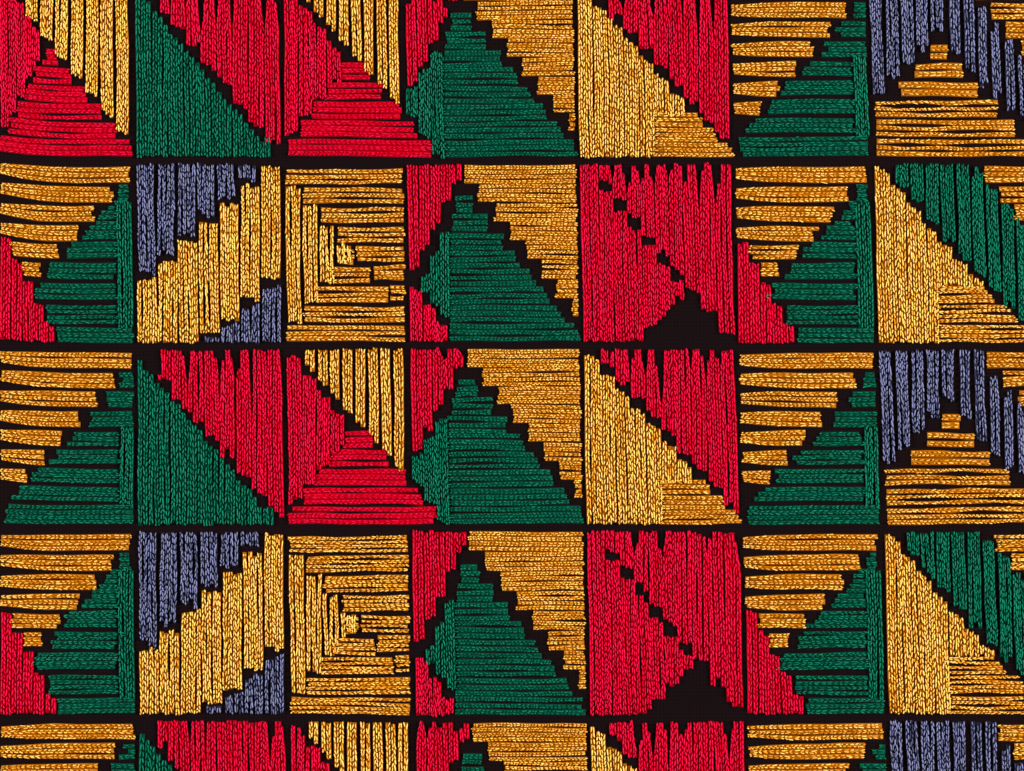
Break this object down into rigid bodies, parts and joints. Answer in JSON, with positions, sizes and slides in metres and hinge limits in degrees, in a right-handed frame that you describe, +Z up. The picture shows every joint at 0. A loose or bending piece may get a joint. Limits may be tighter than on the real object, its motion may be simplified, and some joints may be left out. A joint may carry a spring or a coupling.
{
  "type": "kente cloth",
  "caption": "Cut length of black cloth worked in chain stitch with stepped kente blocks in gold, red, green and lavender-blue, lying flat.",
  "frame": {"origin": "centre of the underside, on the surface that the cloth lies on", "axes": "+X to the right of the picture, along the longer side; +Y to the top of the picture; +Z up out of the stitched face"},
  "size_m": [0.3356, 0.2952, 0.0022],
  "materials": {
    "black_cloth": "matte",
    "gold_thread": "satin",
    "red_thread": "satin",
    "green_thread": "satin",
    "blue_thread": "satin"
  },
  "bodies": {
    "root": {"cloth": "black_cloth"}
  },
  "joints": []
}
